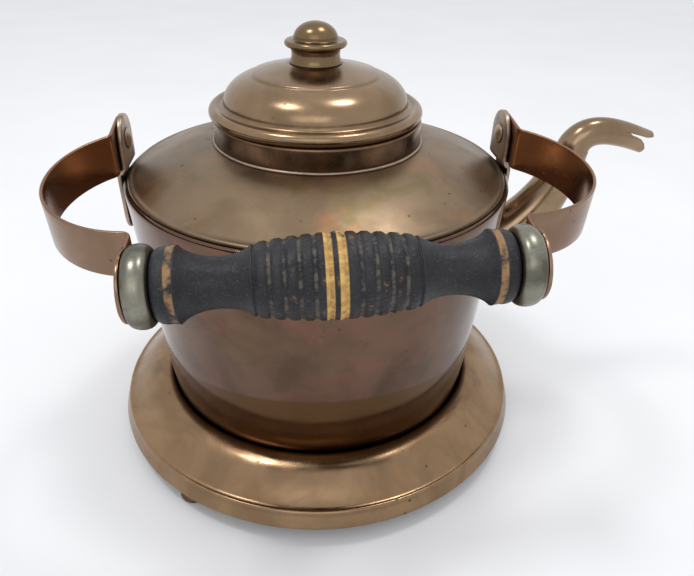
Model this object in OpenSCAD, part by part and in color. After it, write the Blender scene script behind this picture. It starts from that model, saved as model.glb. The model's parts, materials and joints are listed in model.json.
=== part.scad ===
// Copper kettle with a folding bail handle, a lift-off lid and a footed ring stand.
// Origin: on the kettle's axis, on the plane the stand's feet rest on.
// +Z is up, +X is towards the spout, and the bail lies folded forward over -Y.

/* [Kettle body] */
// Radius of the shoulder plate at its seam
shoulder_r = 95; // [90:0.5:98]
// Height of the shoulder seam above the table
shoulder_z = 150; // [148:0.5:152]
// Outer radius that the wall's line reaches at seam height
wall_top_r = 97.2; // [96.8:0.1:98]
// Inward lean of the wall, radius lost per unit of height
wall_taper = 0.0913; // [0.085:0.0005:0.095]
// Height of the kettle's underside
base_z = 12.2; // [12.2:0.1:14]
// Thickness of the copper sheet
sheet_t = 1.2; // [0.9:0.1:1.4]

/* [Neck and lid] */
// Outer radius of the neck collar
neck_r = 51.2; // [50.5:0.1:52]
// Top of the neck collar
neck_top_z = 176.6; // [175:0.1:178]
// Outermost radius of the lid's half-round rim
lid_rim_r = 52.3; // [52:0.1:53.5]
// How far the loose lid sits off the kettle's axis
lid_shift = -1; // [-1.2:0.1:0]
// How far the lid lifts clear
lid_lift = 60; // [20:1:120]

/* [Bail] */
// Height of the hinge axis
hinge_z = 165.5; // [164:0.5:167]
// Distance from the hinge axis to the grip's axis
bail_reach = 115; // [113:0.5:117]
// How far the folded bail hangs below level, in degrees
bail_drop = 7.2; // [6.4:0.1:7.2]
// Width of the flat strap
strap_w = 21.3; // [19:0.1:22]
// Thickness of the flat strap
strap_t = 1.4; // [1.2:0.1:2]
// Lean of the grip against the hinge axis, in degrees
grip_lean = 1.7; // [1:0.1:2]

/* [Grip] */
// Half length of the turned wooden grip
grip_half = 65.3; // [64:0.1:67]
// Radius of the grip at its middle
grip_mid_r = 16.3; // [15.5:0.1:16.4]
// Radius of the grip's slim necks
grip_neck_r = 9.6; // [9:0.1:10.5]
// Number of turned rings around the belly
ring_count = 11; // [7:2:11]
// Axial width of each metal ferrule
ferrule_w = 9.7; // [9:0.1:11]
// Largest radius of a ferrule
ferrule_r = 15.6; // [15:0.1:16]

/* [Spout] */
// Outer radius where the spout leaves the wall
spout_root_r = 15.9; // [15:0.1:16.5]
// Outer radius at the mouth
spout_mouth_r = 6.2; // [5.8:0.1:6.6]
// Sides of the spout's round section
spout_sides = 28; // [20:4:32]
// Rings along the spout
spout_rings = 36; // [24:1:44]

/* [Stand] */
// Outer radius at the foot of the stand's band
band_r = 116; // [114:0.5:117]
// Underside of the band, which is the height of the gap over the table
band_z = 9.8; // [9:0.1:10.5]
// Radius of the turned crease where slope and band meet
crease_r = 113.2; // [112.5:0.1:113.5]
// Height of the crease
crease_z = 19.3; // [18.5:0.1:20]
// Height of the stand's rounded crest
crest_z = 32; // [31:0.1:33]
// Radius of the well that the kettle drops into
well_r = 86.6; // [86.6:0.1:89]
// Number of feet
foot_count = 3; // [3:1:4]

/* [Hidden] */

$fn = 96;
copper = [0.62, 0.42, 0.30];
copper_light = [0.72, 0.50, 0.36];
dark_copper = [0.40, 0.26, 0.18];
nickel = [0.60, 0.60, 0.55];
black_wood = [0.13, 0.12, 0.13];
steel = [0.50, 0.50, 0.50];

skin = 0.1;             // running clearance of a pin in its hole, and of flat faces that slide

lug_t = 2.4;            // thickness of a lug plate
lug_in_x = 93.9;        // inner face of a lug's upright tab
lug_out_x = lug_in_x + lug_t;
lug_r = 11.9;           // round top of a lug
lug_leg_w = 19;
lug_foot_z = 118.5;      // foot of the left lug
lug_foot_right_z = 122;  // foot of the right lug, which ends above the spout
lug_foot_x = 96.8;       // inner face at the foot of the upright leg, standing off the wall
rivet_r = 2;
rivet_zs = [143, 132];
pivot_r = 3;

tab_x = lug_out_x + skin;        // inner face of the strap's hinge tab
end_x = grip_half + ferrule_w;   // inner face of the strap's grip tab
strap_skew = asin(end_x * sin(grip_lean) / bail_reach);
rod_r = 2.5;
washer_r = 6;
washer_t = 1;

// Outer radius of the wall at height z
function wall_r(z) = wall_top_r + wall_taper * (z - shoulder_z);

// Points of an arc about [cx, cy], from angle a0 to a1
function arc(cx, cy, r, a0, a1, n = 8) =
    [for (i = [0:n]) let (a = a0 + (a1 - a0) * i / n) [cx + r * cos(a), cy + r * sin(a)]];

// Unit normal of a path at point i, to the left of its direction
function path_normal(p, i) =
    let (a = p[max(i - 1, 0)], b = p[min(i + 1, len(p) - 1)], d = b - a) [-d[1], d[0]] / norm(d);

// Closed outline of a sheet: the path, and the same path moved t to its left
function sheet(p, t) =
    concat(p, [for (i = [len(p) - 1:-1:0]) p[i] + t * path_normal(p, i)]);

// Point at u of the cubic curve with control points p
function bezier(p, u) =
    pow(1 - u, 3) * p[0] + 3 * u * pow(1 - u, 2) * p[1] + 3 * u * u * (1 - u) * p[2] + pow(u, 3) * p[3];

function bezier_slope(p, u) =
    3 * pow(1 - u, 2) * (p[1] - p[0]) + 6 * u * (1 - u) * (p[2] - p[1]) + 3 * u * u * (p[3] - p[2]);

// Ring about the Z axis from an outline of [radius, height] points
module spun(outline) rotate_extrude() polygon(outline);

// ---------- stand ----------

// Outer face of the stand's sheet: band, crease, convex slope, crest, well wall, ledge
ledge_z = base_z - skin;
slope_curve = [
    [crease_r - 1.9, crease_z + 0.9], [crease_r - 9, crease_z + 5.6],
    [well_r + 9, crest_z + 2.4], [well_r + 0.9, crest_z - 0.5]
];
stand_path = concat(
    [[band_r, band_z], [crease_r + 0.7, crease_z - 1.8]],
    arc(crease_r - 1.4, crease_z - 1, 2, 20, 105, 5),
    [for (i = [1:10]) bezier(slope_curve, i / 10)],
    [[well_r + 0.2, crest_z - 1.6], [well_r, crest_z - 3.5], [well_r, ledge_z + 3]],
    arc(well_r - 3, ledge_z + 3, 3, -18, -90, 4),
    [[66.5, ledge_z]]
);

module stand_ring() color(copper) spun(sheet(stand_path, sheet_t));

// Cast foot: a bun, a waist, and a stem that reaches the sheet's underside
foot_r = 7.3;
foot_at = 106.6;         // from the kettle's axis to a foot's own
foot_turn = 229;         // direction of the front left foot, from +X
foot_outline = concat(
    [[0, 0], [foot_r - 2.4, 0]],
    arc(foot_r - 2.4, 2.4, 2.4, -72, 54, 7),
    [[5.6, 5.6], [5.1, 7.2], [5.6, 9], [6, 11.5], [6, 35], [0, 35]]
);
under_sheet = [for (i = [0:len(stand_path) - 1]) stand_path[i] + sheet_t * path_normal(stand_path, i)];

module stand_feet() color(dark_copper) difference() {
    for (i = [0:foot_count - 1]) rotate([0, 0, foot_turn + i * 360 / foot_count])
        translate([foot_at, 0, 0]) spun(foot_outline);
    spun(concat(under_sheet, [[66.5, 60], [130, 60], [130, band_z]]));
}

// ---------- kettle body ----------

wall_path = concat(
    [[wall_r(base_z + 1.6), base_z + 1.6], [wall_r(shoulder_z - 3.4), shoulder_z - 3.4]],
    arc(wall_top_r - 1.6, shoulder_z - 2.3, 1.4, 10, 110, 6)
);

// Curves of the spout's centre line, in [x, z]: up from the wall, then over to the mouth
lower_run = [[94, 100.9], [117.1, 111.2], [130.5, 134.6], [135.4, 157.9]];
upper_run = [[135.4, 157.9], [140.6, 170.9], [158.5, 165.8], [175, 159.9]];
root_dir = (lower_run[1] - lower_run[0]) / norm(lower_run[1] - lower_run[0]);
root_stub = 8;           // straight length that passes in through the wall

module spout_hole() translate([lower_run[0][0], 0, lower_run[0][1]])
    rotate([0, 90 - atan2(root_dir[1], root_dir[0]), 0])
        translate([0, 0, -2 * root_stub]) cylinder(r = spout_root_r + 0.05, h = 3 * root_stub);

// Places children on the wall at height z, their +Z pointing level out of the kettle on side s
module on_wall(s, z) translate([s * wall_r(z), 0, z]) rotate([0, s * 90, 0]) children();

module rivet_holes() for (s = [-1, 1], z = rivet_zs) on_wall(s, z) translate([0, 0, -8])
    cylinder(r = rivet_r, h = 16, $fn = 32);

module body_wall() color(copper) difference() {
    spun(sheet(wall_path, sheet_t));
    spout_hole();
    rivet_holes();
}

// The bottom's turned-up flange sits inside the wall's lower edge
bottom_path = concat(
    [[0, base_z]],
    arc(wall_r(base_z) - 3.8, base_z + 2.4, 2.4, -90, -6, 5),
    [[wall_r(base_z + 9) - sheet_t - 0.02, base_z + 9]]
);
module body_bottom() color(copper) spun(sheet(bottom_path, sheet_t));

// Shoulder plate: lip under the seam, edge bead, shallow groove, then a low dome to the neck
neck_foot_z = shoulder_z + 15.2;
dome_curve = [
    [shoulder_r - 3, shoulder_z + 0.4], [shoulder_r - 17, shoulder_z + 6.7],
    [neck_r + 17, shoulder_z + 12.2], [neck_r - sheet_t, neck_foot_z]
];
shoulder_path = concat(
    [[shoulder_r - 0.1, shoulder_z - 2.6]],
    arc(shoulder_r - 1.5, shoulder_z - 0.7, 1.4, 0, 100, 5),
    [for (i = [0:9]) bezier(dome_curve, i / 9)]
);
module shoulder() color(copper) spun(sheet(shoulder_path, sheet_t));

collar_path = concat(
    [[neck_r, neck_foot_z], [neck_r, neck_top_z - 1.6]],
    arc(neck_r - 1.4, neck_top_z - 1.4, 1.4, 10, 90, 4)
);
module neck_collar() color(dark_copper) spun(sheet(collar_path, 1));

// ---------- spout ----------

spout_t = 1;

// Position along the spout: u below 0 is the stub, 0 to 1 the lower run, 1 to 2 the upper run
function spout_at(u) =
    u < 0 ? lower_run[0] + u * root_stub * root_dir :
    u < 1 ? bezier(lower_run, u) : bezier(upper_run, u - 1);
function spout_slope(u) =
    let (d = u < 0 ? root_dir : u < 1 ? bezier_slope(lower_run, u) : bezier_slope(upper_run, u - 1))
        d / norm(d);
spout_radii = [[0, spout_root_r], [0.33, 13.5], [0.67, 11], [1, 8.2], [1.4, 7.2], [2, spout_mouth_r]];
function spout_r(u) = lookup(u, spout_radii);

function spout_ring(u, r) = let (c = spout_at(u), d = spout_slope(u))
    [for (k = [0:spout_sides - 1]) let (a = 360 * k / spout_sides)
        [c[0] - d[1] * r * cos(a), r * sin(a), c[1] + d[0] * r * cos(a)]];

function band_faces(from, to, n) =
    [for (k = [0:n - 1]) let (j = (k + 1) % n) [from + k, from + j, to + j, to + k]];

module spout_tube() {
    n = spout_sides;
    us = concat([-1], [for (i = [0:spout_rings - 1]) 2 * i / (spout_rings - 1)]);
    outer = [for (u = us) each spout_ring(u, spout_r(u))];
    inner = [for (u = us) each spout_ring(u, spout_r(u) - spout_t)];
    base = len(outer);
    last = n * spout_rings;
    polyhedron(
        concat(outer, inner),
        concat(
            [for (i = [0:spout_rings - 1]) each band_faces((i + 1) * n, i * n, n)],
            [for (i = [0:spout_rings - 1]) each band_faces(base + i * n, base + (i + 1) * n, n)],
            band_faces(0, base, n),
            band_faces(base + last, last, n)
        )
    );
}

// Side view of the open notch between the pointed upper lip and the blunt, rounded lower one
notch = [
    [158.6, 167.8], [165, 166.4], [172.5, 164], [182, 163.9], [182, 150], [171.2, 150], [171.9, 155],
    [172.2, 158], [171, 161], [168.6, 163.5], [165.3, 165.1], [161.3, 166.4]
];
module spout() color(copper) difference() {
    spout_tube();
    rotate([90, 0, 0]) translate([0, 0, -20]) linear_extrude(40) polygon(notch);
}

// ---------- lugs ----------

// Side view of the right lug's inner face: upright tab, joggle over the seam, leg down the wall
joggle_z = 152.4;
function lug_leg_x(z) = lookup(z, [[lug_foot_z, lug_foot_x], [shoulder_z - 2, wall_r(shoulder_z - 2) + skin]]);
lug_path = [
    [lug_in_x, hinge_z + lug_r], [lug_in_x, joggle_z],
    [wall_r(shoulder_z) + 0.15, shoulder_z - 0.4], [lug_leg_x(shoulder_z - 2), shoulder_z - 2],
    [lug_foot_x, lug_foot_z]
];
// Front view of a lug: round top, shoulders that taper to the leg, round foot
function lug_front(foot) = concat(
    arc(0, hinge_z, lug_r, 0, 180, 24),
    [[-lug_r, shoulder_z + 3], [-lug_leg_w / 2, shoulder_z - 3]],
    arc(0, foot + lug_leg_w / 2, lug_leg_w / 2, 180, 360, 20),
    [[lug_leg_w / 2, shoulder_z - 3], [lug_r, shoulder_z + 3]]
);
module lug(s, foot) mirror([s < 0 ? 1 : 0, 0, 0]) difference() {
    intersection() {
        rotate([90, 0, 0]) translate([0, 0, -15]) linear_extrude(30) polygon(sheet(lug_path, lug_t));
        rotate([90, 0, 90]) linear_extrude(120) polygon(lug_front(foot));
    }
    translate([lug_in_x - 1, 0, hinge_z]) rotate([0, 90, 0]) cylinder(r = pivot_r, h = lug_t + 2);
    rivet_holes();
}
module lug_left() color(dark_copper) lug(-1, lug_foot_z);
module lug_right() color(dark_copper) lug(1, lug_foot_right_z);

// Shank from -deep to +high, a domed head outside and a flatter one inside
module rivet(shank, head, deep, high) {
    translate([0, 0, -deep]) cylinder(r = shank, h = deep + high, $fn = 48);
    translate([0, 0, high]) dome(head, head * 0.45);
    translate([0, 0, -deep]) mirror([0, 0, 1]) dome(head * 0.9, head * 0.35);
}
// Low dome on z = 0
module dome(r, h) rotate_extrude($fn = 48) polygon(concat([[0, 0]],
    [for (i = [0:6]) [r * cos(15 * i), h * sin(15 * i)]]));

module lug_rivets() color(dark_copper) for (s = [-1, 1], z = rivet_zs) on_wall(s, z)
    rivet(rivet_r, 4, sheet_t + 0.5, lug_leg_x(z) - wall_r(z) + lug_t + 0.1);

module pivot(s) translate([s * lug_in_x, 0, hinge_z]) rotate([0, s * 90, 0])
    rivet(pivot_r, 5.6, 0, lug_t + strap_t + 2 * skin);
module pivot_left() color(dark_copper) pivot(-1);
module pivot_right() color(dark_copper) pivot(1);

// ---------- bail, drawn upright about the hinge and then folded forward ----------

module folded() translate([0, 0, hinge_z]) rotate([90 + bail_drop, 0, 0]) children();

// Side view of the right strap in [x, height above the hinge]: tab, C-shaped run, grip tab
bend_r = 2.4;
run_start = 38;          // direction in which the strap leaves the hinge tab, in degrees
low_arc_r = 47.5;
high_arc_r = 40;
bend_at = 17;
run_from = [tab_x + strap_t + bend_r * (1 - cos(90 - run_start)), bend_at + bend_r * sin(90 - run_start)];
low_centre = run_from + low_arc_r * [-sin(run_start), cos(run_start)];
high_centre = [low_centre[0] + low_arc_r - high_arc_r, low_centre[1]];
run_top = high_centre[1] + high_arc_r;
strap_path = concat(
    [[tab_x + strap_t, 0]],
    arc(tab_x + strap_t + bend_r, bend_at, bend_r, 180, 90 + run_start, 4),
    arc(low_centre[0], low_centre[1], low_arc_r, run_start - 85, 0, 10),
    arc(high_centre[0], high_centre[1], high_arc_r, 9, 84, 9),
    [[end_x + 2 * bend_r, run_top]],
    arc(end_x + strap_t + bend_r, run_top + bend_r, bend_r, -110, -180, 4),
    [[end_x + strap_t, bail_reach - 11]]
);

module paddle(r, reach) {
    circle(r = r);
    translate([-strap_w / 2, -reach]) square([strap_w, reach]);
}

module strap(s) rotate([-s * strap_skew, 0, 0]) mirror([s < 0 ? 1 : 0, 0, 0]) difference() {
    union() {
        translate([0, strap_w / 2, 0]) rotate([90, 0, 0]) linear_extrude(strap_w)
            polygon(sheet(strap_path, strap_t));
        translate([tab_x, 0, 0]) rotate([90, 0, 90]) linear_extrude(strap_t) circle(r = strap_w / 2);
        at_grip_end(s) rotate([90, 0, 90]) linear_extrude(strap_t)
            paddle(ferrule_r - 2.3, bail_reach - run_top - bend_r + 0.1);
    }
    translate([tab_x - 1, 0, 0]) rotate([0, 90, 0]) cylinder(r = pivot_r + 0.05, h = strap_t + 2, $fn = 64);
    at_grip_end(s) translate([-1, 0, 0]) rotate([0, 90, 0])
        cylinder(r = rod_r + 0.05, h = strap_t + 2, $fn = 64);
}
// The grip tab stands square to the leaning grip, so it is turned by the lean
module at_grip_end(s) translate([end_x * cos(grip_lean) + 0.05, 0, bail_reach]) rotate([0, 0, s * grip_lean])
    children();

module strap_left() color(copper_light) folded() strap(-1);
module strap_right() color(copper_light) folded() strap(1);

// ---------- grip ----------

// Grip parts are drawn along Z and laid on the grip's axis, +Z towards the right
module on_grip() folded() translate([0, 0, bail_reach]) rotate([0, 0, grip_lean]) rotate([0, 90, 0]) children();

groove_pitch = 5.37;
groove_d = 0.9;
belly_half = groove_pitch * ring_count / 2;
ridge_r = 14.4;

// Radius of the belly's envelope, and the same with its rounded rings
function belly_r(x) = grip_mid_r - 2.6 * pow(x / belly_half, 2);
function ringed_r(x) = belly_r(x) - groove_d * pow(abs(sin(180 * x / groove_pitch)), 6);
// Half outline of the grip: ringed belly, neck, ridge, and the rounded end
to_neck = [[13.2, belly_half + 0.9], [10.6, belly_half + 4], [grip_neck_r, 38], [grip_neck_r, 42.5]];
from_neck = [[grip_neck_r, 42.5], [grip_neck_r, 49], [11.6, 54], [ridge_r - 0.3, 56.4]];
grip_half_path = concat(
    [for (i = [0:3 * ring_count]) let (x = groove_pitch * i / 6) [ringed_r(x), x]],
    [for (i = [0:6]) bezier(to_neck, i / 6)],
    [for (i = [1:6]) bezier(from_neck, i / 6)],
    [[ridge_r, 56.8], [ridge_r - 0.1, 57.3], [ridge_r - 0.4, 60.1], [ridge_r - 0.3, 60.6]],
    [[ridge_r - 0.5, 62.4], [ridge_r - 1.1, 64], [ridge_r - 2.4, grip_half]]
);
mirrored_half = [for (i = [len(grip_half_path) - 1:-1:1]) [grip_half_path[i][0], -grip_half_path[i][1]]];

module grip() color(black_wood) on_grip() difference() {
    rotate_extrude() polygon(concat([[0, -grip_half]], mirrored_half, grip_half_path, [[0, grip_half]]));
    translate([0, 0, -grip_half - 1]) cylinder(r = rod_r + 0.05, h = 2 * grip_half + 2, $fn = 64);
}

// Half-barrel ring, open on the rod
module ferrule(s) on_grip() rotate([0, s < 0 ? 180 : 0, 0]) translate([0, 0, grip_half]) difference() {
    rotate_extrude() polygon(concat(
        [[0, 0], [ferrule_r - 3.2, 0]],
        [for (i = [0:10]) let (u = i / 10)
            [ferrule_r - 2.6 * pow(abs(2 * u - 1), 2.6), 0.3 + (ferrule_w - 0.6) * u]],
        [[ferrule_r - 3.2, ferrule_w], [0, ferrule_w]]
    ));
    translate([0, 0, -1]) cylinder(r = rod_r + 0.05, h = ferrule_w + 2, $fn = 64);
}
module ferrule_left() color(nickel) ferrule(-1);
module ferrule_right() color(nickel) ferrule(1);

rod_half = end_x + strap_t + washer_t + skin;
module handle_rod() color(steel) on_grip() {
    translate([0, 0, -rod_half]) cylinder(r = rod_r, h = 2 * rod_half, $fn = 64);
    for (s = [-1, 1]) rotate([0, s < 0 ? 180 : 0, 0]) translate([0, 0, rod_half]) dome(4.2, 1.9);
}

module rod_washers() color(steel) on_grip() for (s = [-1, 1]) rotate([0, s < 0 ? 180 : 0, 0])
    translate([0, 0, end_x + strap_t + skin]) difference() {
        cylinder(r = washer_r, h = washer_t, $fn = 64);
        translate([0, 0, -1]) cylinder(r = rod_r + 0.05, h = washer_t + 2, $fn = 64);
    }

// ---------- lid ----------

rim_c = [lid_rim_r - 2.9, neck_top_z + 2.9 + skin];
cap_z = rim_c[1] + 17.6;
knob_z = rim_c[1] + 21.6;
knob_foot_r = 12.6;
knob_neck_r = 11.1;
knob_rim_r = 14.8;
knob_cap_r = 10.4;
// Half-round rim, crease, domed side, step, and the flat cone that carries the knob
dome_side = [[44.8, rim_c[1] + 5], [44.3, rim_c[1] + 10], [38.6, rim_c[1] + 15], [31, rim_c[1] + 16.5]];
lid_path = concat(
    arc(rim_c[0], rim_c[1], 2.9, -92, 112, 12),
    [[47.4, rim_c[1] + 2.3], [45.6, rim_c[1] + 3.2]],
    [for (i = [0:8]) bezier(dome_side, i / 8)],
    [[30.4, cap_z], [13.5, knob_z], [0, knob_z]]
);
module on_lid() translate([lid_shift, 0, 0]) children();

module lid_dome() color(copper_light) on_lid() difference() {
    spun(sheet(lid_path, 1));
    translate([0, 0, knob_z - 4]) cylinder(r = 2.5, h = 8, $fn = 48);
}

skirt_r = 48.4;
skirt_top_z = rim_c[1] + 1.4;
module lid_skirt() color(copper) on_lid() difference() {
    translate([0, 0, neck_top_z - 11]) cylinder(r = skirt_r, h = skirt_top_z - neck_top_z + 11);
    translate([0, 0, neck_top_z - 12]) cylinder(r = skirt_r - 0.9, h = 40);
}

knob_path = concat(
    [[0, knob_z], [knob_foot_r, knob_z], [knob_foot_r, knob_z + 0.8]],
    [for (i = [1:5]) bezier([[knob_foot_r, knob_z + 0.8], [knob_neck_r + 0.4, knob_z + 2.4],
        [knob_neck_r, knob_z + 5.6], [knob_neck_r + 1.2, knob_z + 7]], i / 5)],
    arc(knob_rim_r - 1.5, knob_z + 9, 1.5, -60, 110, 7),
    [[knob_cap_r + 0.8, knob_z + 10.9]],
    [for (i = [0:8]) [knob_cap_r * cos(i * 90 / 8), knob_z + 11.2 + 7.4 * sin(i * 90 / 8)]]
);
module lid_knob() color(copper_light) on_lid() difference() {
    spun(knob_path);
    translate([0, 0, knob_z - 1]) cylinder(r = 2.5, h = 8, $fn = 48);
}

module knob_rivet() color(steel) on_lid() {
    translate([0, 0, knob_z - 2]) cylinder(r = 2.5, h = 9, $fn = 48);
    translate([0, 0, knob_z - 2]) mirror([0, 0, 1]) dome(4.4, 1.8);
}
module knob_washer() color(steel) on_lid() difference() {
    translate([0, 0, knob_z - 2]) cylinder(r = 6, h = 1, $fn = 64);
    translate([0, 0, knob_z - 3]) cylinder(r = 2.5, h = 3, $fn = 48);
}

stand_ring();
stand_feet();
body_wall();
body_bottom();
shoulder();
neck_collar();
spout();
lug_left();
lug_right();
lug_rivets();
pivot_left();
pivot_right();
strap_left();
strap_right();
ferrule_left();
ferrule_right();
grip();
handle_rod();
rod_washers();
lid_dome();
lid_skirt();
lid_knob();
knob_rivet();
knob_washer();
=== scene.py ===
import bpy
import bmesh
import json
import math
from mathutils import Matrix, Vector, noise


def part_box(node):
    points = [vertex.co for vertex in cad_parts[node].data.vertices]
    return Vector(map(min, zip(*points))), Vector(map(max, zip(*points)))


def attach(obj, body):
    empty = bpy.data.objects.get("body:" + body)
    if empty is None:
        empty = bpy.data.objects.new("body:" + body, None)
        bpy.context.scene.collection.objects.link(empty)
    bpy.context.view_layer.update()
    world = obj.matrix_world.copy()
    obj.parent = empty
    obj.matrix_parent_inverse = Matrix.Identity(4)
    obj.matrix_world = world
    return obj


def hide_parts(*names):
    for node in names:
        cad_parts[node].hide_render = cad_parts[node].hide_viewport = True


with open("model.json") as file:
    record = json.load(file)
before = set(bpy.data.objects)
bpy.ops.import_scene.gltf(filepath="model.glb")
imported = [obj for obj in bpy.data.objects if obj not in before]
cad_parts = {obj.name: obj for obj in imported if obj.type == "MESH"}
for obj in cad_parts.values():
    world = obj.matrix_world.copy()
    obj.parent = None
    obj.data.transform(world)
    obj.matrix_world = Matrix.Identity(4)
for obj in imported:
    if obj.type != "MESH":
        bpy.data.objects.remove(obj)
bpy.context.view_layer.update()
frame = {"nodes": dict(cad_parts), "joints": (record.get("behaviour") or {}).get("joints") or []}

# Lengths below are in millimetres; meshes are scaled to metres as they are made.
MM = 0.001
X_AXIS = Vector((1, 0, 0))


# ---------- places, from the frame ----------

def corners(node):
    lo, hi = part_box(node)
    return Vector(lo) / MM, Vector(hi) / MM


def centre(node):
    lo, hi = corners(node)
    return (lo + hi) / 2


ring_lo, ring_hi = corners("stand_ring")
BAND_R, BAND_Z, CREST_Z = ring_hi.x, ring_lo.z, ring_hi.z
wall_hi = corners("body_wall")[1]
WALL_R, WALL_TOP = wall_hi.x, wall_hi.z  # outer radius and top of the hem
BASE_Z = corners("body_bottom")[0].z
TAPER = 0.0913                          # growth of the wall's radius per millimetre of height
sh_lo, sh_hi = corners("shoulder")
SHOULDER_R = sh_hi.x
BEAD_Z = sh_lo.z + 3.3                  # top of the bead beside the seam
nk_lo, nk_hi = corners("neck_collar")
NECK_R, NECK_LO, NECK_HI = nk_hi.x, nk_lo.z, nk_hi.z
lid_lo, lid_hi = corners("lid_dome")
LID_R, LID_LO = (lid_hi.x - lid_lo.x) / 2, lid_lo.z
LID_PLACE = Matrix.Translation(Vector(((lid_hi.x + lid_lo.x) / 2, 0, 0)) * MM)
KNOB_LO = corners("lid_knob")[0].z
lug_lo, lug_hi = corners("lug_right")
LUG_X, LUG_TOP, LUG_W = lug_lo.x, lug_hi.z, lug_hi.y
LUG_FEET = {-1: corners("lug_left")[0].z, 1: lug_lo.z}
LUG_T = 2.4                             # thickness of a lug plate
HINGE = Vector(next(j for j in frame["joints"] if j["name"] == "bail_hinge")["pos_m"]) / MM
STRAP_T = 1.4
CLEAR = 0.1                             # running clearance between flat faces that slide
TAB_X = LUG_X + LUG_T + CLEAR
FERRULES = {-1: centre("ferrule_left"), 1: centre("ferrule_right")}
GRIP_AXIS = (FERRULES[1] - FERRULES[-1]).normalized()
GRIP_AT = (FERRULES[1] + FERRULES[-1]) / 2
FERRULE_W = 9.7                         # length of a ferrule along the grip
GRIP_HALF = (FERRULES[1] - FERRULES[-1]).length / 2 - FERRULE_W / 2
END_X = GRIP_HALF + FERRULE_W           # inner face of the strap at the grip's end


def wall_r(z):
    """Outer radius of the kettle's wall at height z."""
    return WALL_R + 0.2 + TAPER * (z - WALL_TOP)


# ---------- outlines ----------

def arc(cx, cy, r, a0, a1, n=10):
    return [(cx + r * math.cos(math.radians(a0 + (a1 - a0) * i / n)),
             cy + r * math.sin(math.radians(a0 + (a1 - a0) * i / n))) for i in range(n + 1)]


def bezier(p, n=16, first=0):
    out = []
    for i in range(first, n + 1):
        u = i / n
        k = ((1 - u) ** 3, 3 * u * (1 - u) ** 2, 3 * u * u * (1 - u), u ** 3)
        out.append(tuple(sum(k[j] * p[j][c] for j in range(4)) for c in range(len(p[0]))))
    return out


def line(a, b, n=4, first=0):
    return [tuple(a[c] + (b[c] - a[c]) * i / n for c in range(len(a))) for i in range(first, n + 1)]


def sheet(path, t, lip=0.35):
    """Closed outline of a sheet of thickness t to the left of the path, with rounded ends."""
    n = len(path)
    normals = []
    for i in range(n):
        a, b = Vector(path[max(i - 1, 0)]), Vector(path[min(i + 1, n - 1)])
        d = (b - a).normalized()
        normals.append(Vector((-d.y, d.x)))
    inner = [Vector(path[i]) + t * normals[i] for i in range(n)]
    start = (Vector(path[0]) + inner[0]) / 2 - lip * Vector((normals[0].y, -normals[0].x))
    end = (Vector(path[-1]) + inner[-1]) / 2 + lip * Vector((normals[-1].y, -normals[-1].x))
    return [tuple(start)] + list(path) + [tuple(end)] + [tuple(v) for v in reversed(inner)]


# ---------- meshes ----------

WELD = 1e-7                             # metres: points nearer than this are one

def piece(name, verts, faces, body, mat, place=None):
    """A smooth-shaded mesh object from millimetres, on its body and slot."""
    mesh = bpy.data.meshes.new(name)
    mesh.from_pydata([Vector(v) * MM for v in verts], [], faces)
    bm = bmesh.new()
    bm.from_mesh(mesh)
    bmesh.ops.remove_doubles(bm, verts=bm.verts, dist=WELD)
    bmesh.ops.dissolve_degenerate(bm, edges=bm.edges, dist=WELD)
    bmesh.ops.recalc_face_normals(bm, faces=bm.faces)
    bm.to_mesh(mesh)
    bm.free()
    for f in mesh.polygons:
        f.use_smooth = True
    mesh.materials.append(mat)
    obj = bpy.data.objects.new(name, mesh)
    bpy.context.scene.collection.objects.link(obj)
    if place is not None:
        obj.matrix_world = place
        bpy.context.view_layer.update()
    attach(obj, body)
    return obj


def lathe_mesh(outline, segments, closed):
    """Vertices and faces of an outline of (radius, z) points turned about Z."""
    verts, rings = [], []
    for r, z in outline:
        if r < 1e-6:
            rings.append([len(verts)])
            verts.append((0, 0, z))
        else:
            rings.append(list(range(len(verts), len(verts) + segments)))
            verts += [(r * math.cos(2 * math.pi * k / segments), r * math.sin(2 * math.pi * k / segments), z)
                      for k in range(segments)]
    faces = []
    for i in range(len(rings) if closed else len(rings) - 1):
        a, b = rings[i], rings[(i + 1) % len(rings)]
        for k in range(segments):
            m = (k + 1) % segments
            if len(a) > 1 and len(b) > 1:
                faces.append((a[k], a[m], b[m], b[k]))
            elif len(a) > 1:
                faces.append((a[k], a[m], b[0]))
            elif len(b) > 1:
                faces.append((a[0], b[m], b[k]))
    return verts, faces


def lathe(name, outline, body, mat, segments=192, dent=None, place=None):
    closed = outline[0][0] > 1e-6
    verts, faces = lathe_mesh(outline, segments, closed)
    if dent:
        verts = [dent(Vector(v)) for v in verts]
    return piece(name, verts, faces, body, mat, place)


def dents(depth, size, seed):
    """A smooth field that moves sheet metal a little, so that no curve is perfect."""
    shift = Vector((seed * 3.1, seed * 5.7, seed * 1.3))

    def move(v):
        out = Vector((v.x, v.y, 0))
        if out.length < 1:
            return v
        push = depth * noise.noise(v / size + shift) + 0.35 * depth * noise.noise(v / (size * 0.37) + shift)
        lift = 0.4 * depth * noise.noise(v / (size * 1.3) - shift)
        return v + out.normalized() * push + Vector((0, 0, lift))
    return move


EDGE_EASE = 0.35                        # rounding of a strip's edges, as a share of its thickness
CORNER_STEPS = 4


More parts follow.
